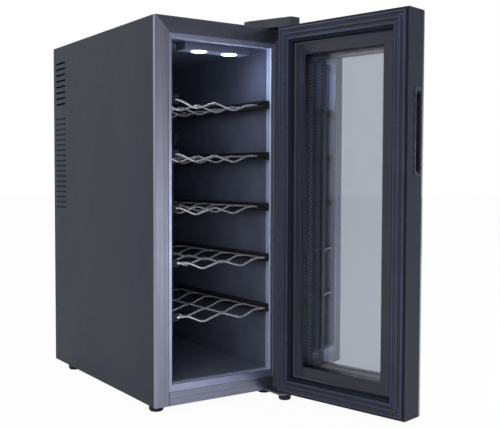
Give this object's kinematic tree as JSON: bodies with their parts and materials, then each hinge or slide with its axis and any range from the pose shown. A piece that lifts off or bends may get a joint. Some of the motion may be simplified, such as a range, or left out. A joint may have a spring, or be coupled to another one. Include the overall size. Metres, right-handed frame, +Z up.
{
  "type": "wine cooler",
  "caption": "Slim free-standing wine cooler with an insulated cabinet, sliding wire shelves and a recessed-handle glass door.",
  "frame": {"origin": "on the floor under the middle of the cabinet, leaving out the open door", "axes": "+Z up, the front with the door faces -Y, +X is the hinge side"},
  "size_m": [0.3128, 0.7044, 0.641],
  "materials": {
    "panel": "satin powder coat",
    "galvanised": "plain zinc",
    "frame": "brushed, tinted grey",
    "trim": "satin light grey",
    "liner": "fine texture",
    "foam": "foam",
    "rail": "matte",
    "chrome": "bright wire",
    "blackplastic": "matte",
    "rubber": "matte",
    "lens": "clear diffuser",
    "board": "circuit board",
    "alu": "plain",
    "ceramic": "plain",
    "steel": "zinc plated",
    "doorframe": "satin",
    "gasket": "soft",
    "magnet": "magnetic rubber",
    "retainer": "satin",
    "glassouter": "dark tinted",
    "glassinner": "clear, low emissivity coated",
    "bush": "acetal"
  },
  "bodies": {
    "cabinet": {"left_side_panel": "panel", "right_side_panel": "panel", "top_panel": "panel", "base_plate": "galvanised", "rear_panel": "panel", "left_stile": "frame", "right_stile": "frame", "top_rail": "frame", "bottom_rail": "frame", "mouth_trim": "trim", "inner_liner": "liner", "insulation_foam": "foam", "bulkhead": "galvanised", "left_shelf_rails": "rail", "right_shelf_rails": "rail", "feet": "rubber", "light_housing": "blackplastic", "led_lenses": "lens", "led_board": "board", "cold_fan_cover": "liner", "cold_sink": "alu", "thermal_block": "alu", "peltier_module": "ceramic", "hot_sink": "alu", "cold_fan_frame": "blackplastic", "hot_fan_frame": "blackplastic", "fan_guard": "steel", "power_board": "board", "board_standoffs": "bush", "mains_inlet": "blackplastic", "temperature_sensor": "bush", "rear_panel_screws": "steel", "top_hinge_bracket": "steel", "top_hinge_pin": "steel", "bottom_hinge_bracket": "steel", "bottom_hinge_pin": "steel", "bottom_hinge_foot": "blackplastic", "hinge_screws": "steel", "top_hinge_cover": "blackplastic"},
    "door": {"outer_glass": "glassouter", "door_hinge_profile": "doorframe", "door_handle_profile": "doorframe", "handle_cup": "blackplastic", "door_bottom_cap": "doorframe", "door_top_cap": "doorframe", "touch_board": "board", "hinge_bushes": "bush", "door_gasket": "gasket", "gasket_magnets": "magnet", "glazing_retainer": "retainer", "inner_glass": "glassinner", "glass_spacer": "alu"},
    "cold_fan": {"cold_fan_rotor": "blackplastic"},
    "hot_fan": {"hot_fan_rotor": "blackplastic"},
    "shelf1": {"shelf_1": "chrome"},
    "shelf2": {"shelf_2": "chrome"},
    "shelf3": {"shelf_3": "chrome"},
    "shelf4": {"shelf_4": "chrome"},
    "shelf5": {"shelf_5": "chrome"}
  },
  "joints": [
    {"name": "door_hinge", "type": "hinge", "parent": "cabinet", "child": "door", "pos_m": [0.116, -0.245, 0.32], "axis": [0, 0, 1], "range_deg": [-103, 32]},
    {"name": "shelf_1_slide", "type": "slide", "parent": "cabinet", "child": "shelf1", "axis": [0, -1, 0], "range_m": [0, 0.23]},
    {"name": "shelf_2_slide", "type": "slide", "parent": "cabinet", "child": "shelf2", "axis": [0, -1, 0], "range_m": [0, 0.23]},
    {"name": "shelf_3_slide", "type": "slide", "parent": "cabinet", "child": "shelf3", "axis": [0, -1, 0], "range_m": [0, 0.23]},
    {"name": "shelf_4_slide", "type": "slide", "parent": "cabinet", "child": "shelf4", "axis": [0, -1, 0], "range_m": [-0.023, 0.207]},
    {"name": "shelf_5_slide", "type": "slide", "parent": "cabinet", "child": "shelf5", "axis": [0, -1, 0], "range_m": [-0.023, 0.207]},
    {"name": "cold_fan_spin", "type": "hinge", "parent": "cabinet", "child": "cold_fan", "pos_m": [0, 0.105, 0.393], "axis": [0, 1, 0], "continuous": true},
    {"name": "hot_fan_spin", "type": "hinge", "parent": "cabinet", "child": "hot_fan", "pos_m": [0, 0.2, 0.393], "axis": [0, 1, 0], "continuous": true}
  ]
}
